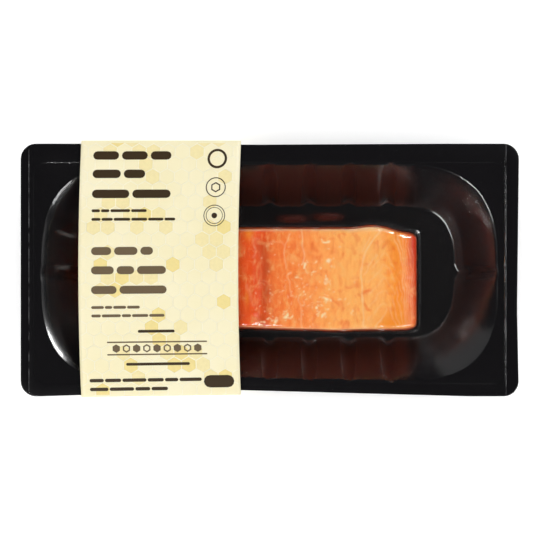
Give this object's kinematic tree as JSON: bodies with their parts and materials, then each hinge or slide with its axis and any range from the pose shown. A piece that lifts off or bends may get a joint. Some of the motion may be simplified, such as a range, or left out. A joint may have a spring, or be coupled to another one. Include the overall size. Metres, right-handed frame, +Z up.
{
  "type": "pack of smoked salmon",
  "caption": "Flat pack of smoked salmon: a fillet portion under clear clinging film in a black fluted tray, with a printed card sleeve wrapped round the left half.",
  "frame": {"origin": "on the ground under the middle of the pack", "axes": "+X along the tray towards the end that the sleeve leaves open, +Y towards the tray's back long side, +Z up"},
  "size_m": [0.25, 0.1286, 0.0247],
  "materials": {
    "tray": "thermoformed, glossy black",
    "fillet": "moist smoked salmon flesh",
    "film": "clear, glossy",
    "sleeve": "coated and printed, satin"
  },
  "bodies": {
    "root": {"tray": "tray", "fillet": "fillet", "film": "film", "sleeve": "sleeve"}
  },
  "joints": []
}
